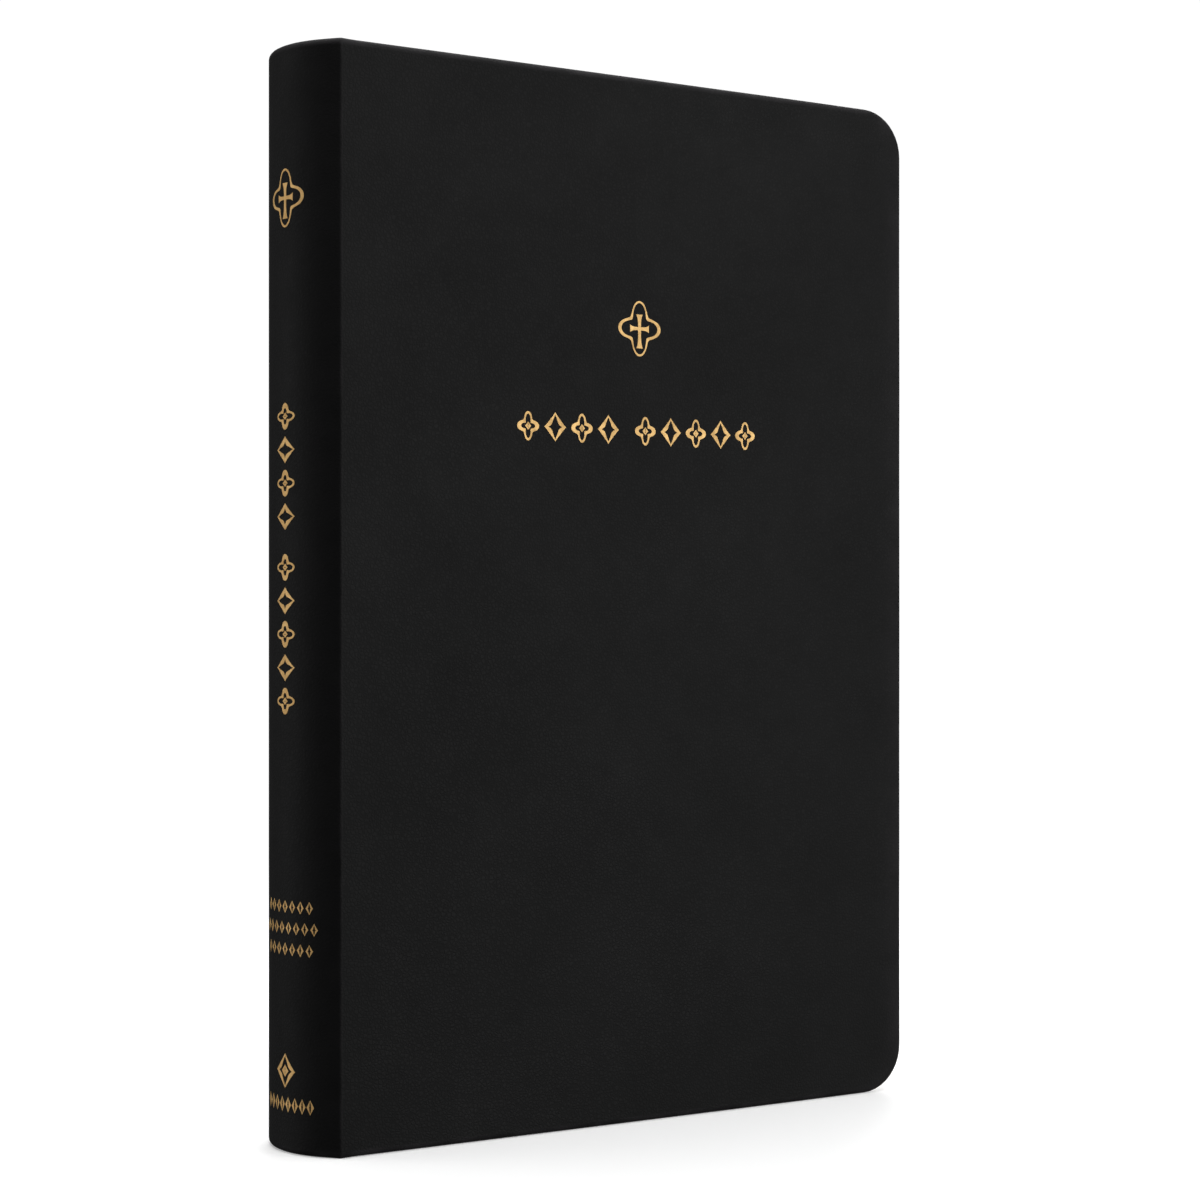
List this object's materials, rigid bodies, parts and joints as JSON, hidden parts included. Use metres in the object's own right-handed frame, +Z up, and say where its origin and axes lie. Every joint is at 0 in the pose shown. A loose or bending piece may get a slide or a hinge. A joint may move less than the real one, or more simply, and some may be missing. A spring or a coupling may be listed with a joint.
{
  "type": "bible",
  "caption": "Closed bible in a limp imitation-leather case binding, with a round spine, rounded corners, covers that open and leaves that fan out.",
  "frame": {"origin": "middle of the book's footprint, on the surface that it stands on", "axes": "+Z up the height of the book, tail to head; -Y out of the front cover; -X out of the spine"},
  "size_m": [0.1474, 0.0284, 0.219],
  "materials": {
    "cover_leather": "matte pebbled imitation leather",
    "board_card": "plain grey card",
    "open_cloth": "coarse open cotton cloth",
    "kraft_paper": "ribbed brown kraft paper",
    "endpaper": "black grained endpaper",
    "page_paper": "thin cream paper with gilt edges",
    "binding_glue": "dried binding adhesive over folded paper",
    "band_cloth": "woven gold and black band"
  },
  "bodies": {
    "spine": {"spine_leather": "cover_leather", "spine_inlay": "board_card", "spine_lining": "kraft_paper", "spine_mull": "open_cloth", "glued_back": "binding_glue", "head_band": "band_cloth", "tail_band": "band_cloth", "middle_section_1": "page_paper", "middle_section_2": "page_paper", "middle_section_3": "page_paper", "middle_section_4": "page_paper", "middle_section_5": "page_paper"},
    "front_cover": {"front_cover_leather": "cover_leather", "front_board": "board_card", "front_hinge_cloth": "open_cloth", "front_pastedown": "endpaper"},
    "front_flyleaf": {"front_flyleaf": "endpaper"},
    "presentation_leaf": {"presentation_leaf": "page_paper"},
    "title_leaf": {"title_leaf": "page_paper"},
    "front_section_1": {"front_section_1": "page_paper"},
    "front_section_2": {"front_section_2": "page_paper"},
    "front_section_3": {"front_section_3": "page_paper"},
    "front_section_4": {"front_section_4": "page_paper"},
    "back_cover": {"back_cover_leather": "cover_leather", "back_board": "board_card", "back_hinge_cloth": "open_cloth", "back_pastedown": "endpaper"},
    "back_flyleaf": {"back_flyleaf": "endpaper"},
    "map_leaf_2": {"map_leaf_2": "page_paper"},
    "map_leaf_1": {"map_leaf_1": "page_paper"},
    "back_section_1": {"back_section_1": "page_paper"},
    "back_section_2": {"back_section_2": "page_paper"},
    "back_section_3": {"back_section_3": "page_paper"},
    "back_section_4": {"back_section_4": "page_paper"}
  },
  "joints": [
    {"name": "front_cover_hinge", "type": "hinge", "parent": "spine", "child": "front_cover", "pos_m": [-0.0668, -0.0142, 0.1095], "axis": [0, 0, -1], "range_deg": [0, 175]},
    {"name": "front_flyleaf_turn", "type": "hinge", "parent": "spine", "child": "front_flyleaf", "pos_m": [-0.0668, -0.0142, 0.1095], "axis": [0, 0, -1], "range_deg": [0, 165]},
    {"name": "presentation_leaf_turn", "type": "hinge", "parent": "spine", "child": "presentation_leaf", "pos_m": [-0.0668, -0.0142, 0.1095], "axis": [0, 0, -1], "range_deg": [0, 155]},
    {"name": "title_leaf_turn", "type": "hinge", "parent": "spine", "child": "title_leaf", "pos_m": [-0.0668, -0.0142, 0.1095], "axis": [0, 0, -1], "range_deg": [0, 143]},
    {"name": "front_section_1_turn", "type": "hinge", "parent": "spine", "child": "front_section_1", "pos_m": [-0.06537, -0.0103, 0.1095], "axis": [0, 0, -1], "range_deg": [0, 78]},
    {"name": "front_section_2_turn", "type": "hinge", "parent": "spine", "child": "front_section_2", "pos_m": [-0.06537, -0.00871, 0.1095], "axis": [0, 0, -1], "range_deg": [0, 38]},
    {"name": "front_section_3_turn", "type": "hinge", "parent": "spine", "child": "front_section_3", "pos_m": [-0.06537, -0.00711, 0.1095], "axis": [0, 0, -1], "range_deg": [0, 18]},
    {"name": "front_section_4_turn", "type": "hinge", "parent": "spine", "child": "front_section_4", "pos_m": [-0.06537, -0.00552, 0.1095], "axis": [0, 0, -1], "range_deg": [0, 8]},
    {"name": "back_cover_hinge", "type": "hinge", "parent": "spine", "child": "back_cover", "pos_m": [-0.0668, 0.0142, 0.1095], "axis": [0, 0, 1], "range_deg": [0, 175]},
    {"name": "back_flyleaf_turn", "type": "hinge", "parent": "spine", "child": "back_flyleaf", "pos_m": [-0.0668, 0.0142, 0.1095], "axis": [0, 0, 1], "range_deg": [0, 165]},
    {"name": "map_leaf_2_turn", "type": "hinge", "parent": "spine", "child": "map_leaf_2", "pos_m": [-0.0668, 0.0142, 0.1095], "axis": [0, 0, 1], "range_deg": [0, 155]},
    {"name": "map_leaf_1_turn", "type": "hinge", "parent": "spine", "child": "map_leaf_1", "pos_m": [-0.0668, 0.0142, 0.1095], "axis": [0, 0, 1], "range_deg": [0, 143]},
    {"name": "back_section_1_turn", "type": "hinge", "parent": "spine", "child": "back_section_1", "pos_m": [-0.06537, 0.0103, 0.1095], "axis": [0, 0, 1], "range_deg": [0, 78]},
    {"name": "back_section_2_turn", "type": "hinge", "parent": "spine", "child": "back_section_2", "pos_m": [-0.06537, 0.00871, 0.1095], "axis": [0, 0, 1], "range_deg": [0, 38]},
    {"name": "back_section_3_turn", "type": "hinge", "parent": "spine", "child": "back_section_3", "pos_m": [-0.06537, 0.00711, 0.1095], "axis": [0, 0, 1], "range_deg": [0, 18]},
    {"name": "back_section_4_turn", "type": "hinge", "parent": "spine", "child": "back_section_4", "pos_m": [-0.06537, 0.00552, 0.1095], "axis": [0, 0, 1], "range_deg": [0, 8]}
  ],
  "couplings": [
    {"joint": "front_flyleaf_turn", "follows": "front_cover_hinge", "ratio": 0.9428},
    {"joint": "presentation_leaf_turn", "follows": "front_cover_hinge", "ratio": 0.8857},
    {"joint": "title_leaf_turn", "follows": "front_cover_hinge", "ratio": 0.8171},
    {"joint": "front_section_1_turn", "follows": "front_cover_hinge", "ratio": 0.4457},
    {"joint": "front_section_2_turn", "follows": "front_cover_hinge", "ratio": 0.2171},
    {"joint": "front_section_3_turn", "follows": "front_cover_hinge", "ratio": 0.1028},
    {"joint": "front_section_4_turn", "follows": "front_cover_hinge", "ratio": 0.0457},
    {"joint": "back_flyleaf_turn", "follows": "back_cover_hinge", "ratio": 0.9428},
    {"joint": "map_leaf_2_turn", "follows": "back_cover_hinge", "ratio": 0.8857},
    {"joint": "map_leaf_1_turn", "follows": "back_cover_hinge", "ratio": 0.8171},
    {"joint": "back_section_1_turn", "follows": "back_cover_hinge", "ratio": 0.4457},
    {"joint": "back_section_2_turn", "follows": "back_cover_hinge", "ratio": 0.2171},
    {"joint": "back_section_3_turn", "follows": "back_cover_hinge", "ratio": 0.1028},
    {"joint": "back_section_4_turn", "follows": "back_cover_hinge", "ratio": 0.0457}
  ]
}
